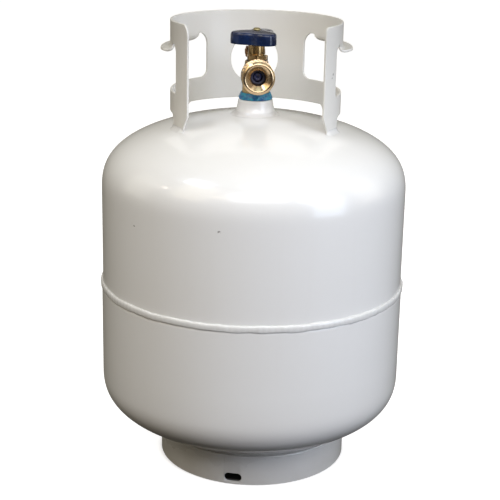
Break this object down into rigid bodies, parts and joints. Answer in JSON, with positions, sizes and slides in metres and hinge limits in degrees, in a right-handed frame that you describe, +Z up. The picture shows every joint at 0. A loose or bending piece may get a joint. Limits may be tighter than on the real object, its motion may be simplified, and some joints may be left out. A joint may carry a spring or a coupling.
{
  "type": "propane tank",
  "caption": "Upright steel gas cylinder with foot ring, open-fronted collar with hand holes, and a brass shut-off valve with three-lobed handwheel.",
  "frame": {"origin": "on the floor under the shell's axis; the foot ring's own centre is 3.6 mm towards +X of it", "axes": "+Z up the tank's axis; the valve's outlet and the collar's opening face -Y; +X is the tank's right seen from behind the valve, which is the right of the picture when looking at the outlet"},
  "size_m": [0.3162, 0.3162, 0.46],
  "materials": {
    "white_paint": "gloss off-white enamel",
    "painted_weld": "gloss off-white enamel over weld bead",
    "brass": "forged and machined",
    "machined_brass": "machined",
    "navy_lacquer": "glossy navy blue",
    "thread_sealant": "cured blue sealant",
    "black_rubber": "moulded rubber",
    "spring_steel": "drawn wire",
    "float_plastic": "moulded",
    "float_foam": "closed-cell foam"
  },
  "bodies": {
    "tank": {"upper_head": "white_paint", "lower_head": "white_paint", "girth_weld_bead": "painted_weld", "foot_ring": "white_paint", "foot_ring_weld": "painted_weld", "collar_guard": "white_paint", "collar_weld_front_right": "painted_weld", "collar_weld_front_left": "painted_weld", "collar_weld_rear_right": "painted_weld", "collar_weld_rear_left": "painted_weld", "valve_boss": "white_paint", "boss_weld": "painted_weld", "thread_seal_ring": "thread_sealant", "valve_body": "brass", "valve_bonnet": "brass", "bonnet_seal_ring": "black_rubber", "outlet_seal_ring": "black_rubber", "check_spring": "spring_steel", "relief_retainer": "brass", "relief_spring": "spring_steel", "dip_tube": "machined_brass", "stop_fill_housing": "float_plastic", "float_pin": "spring_steel"},
    "seat_lift": {"seat_carrier": "machined_brass", "seat_disc": "black_rubber"},
    "handwheel": {"handwheel": "navy_lacquer", "handwheel_screw": "brass", "valve_stem": "machined_brass", "stem_o_ring": "black_rubber"},
    "check_valve": {"check_poppet": "black_rubber"},
    "relief_valve": {"relief_poppet": "machined_brass", "relief_seat_disc": "black_rubber"},
    "bleeder": {"bleeder_screw": "brass"},
    "float": {"float_arm": "float_plastic", "float_block": "float_foam"},
    "stop_fill_valve": {"stop_fill_piston": "float_plastic"}
  },
  "joints": [
    {"name": "stem_lift", "type": "slide", "parent": "tank", "child": "seat_lift", "axis": [0, 0, 1], "range_m": [0, 0.003]},
    {"name": "handwheel_turn", "type": "hinge", "parent": "seat_lift", "child": "handwheel", "pos_m": [0, 0, 0.4363], "axis": [0, 0, 1], "range_deg": [0, 540]},
    {"name": "check_slide", "type": "slide", "parent": "tank", "child": "check_valve", "axis": [-0.0698, 0.9976, 0], "range_m": [0, 0.003], "stiffness_N_per_m": 300, "springref_m": -0.004, "deforming": ["check_spring"]},
    {"name": "relief_slide", "type": "slide", "parent": "tank", "child": "relief_valve", "axis": [-0.055, 0.7861, 0.6157], "range_m": [0, 0.0015], "stiffness_N_per_m": 2000, "springref_m": -0.005, "deforming": ["relief_spring"]},
    {"name": "bleeder_turn", "type": "hinge", "parent": "tank", "child": "bleeder", "pos_m": [0.00885, 0.00964, 0.4178], "axis": [0, 0, 1], "range_deg": [0, 540]},
    {"name": "float_swing", "type": "hinge", "parent": "tank", "child": "float", "pos_m": [0, 0, 0.305], "axis": [0.9976, 0.0698, 0], "range_deg": [0, 80]},
    {"name": "stop_fill_lift", "type": "slide", "parent": "tank", "child": "stop_fill_valve", "axis": [0, 0, 1], "range_m": [0, 0.004]}
  ],
  "couplings": [
    {"joint": "handwheel_turn", "follows": "stem_lift", "rad_per_m": 3141.5},
    {"joint": "stop_fill_lift", "follows": "float_swing", "m_per_rad": 0.00286}
  ]
}
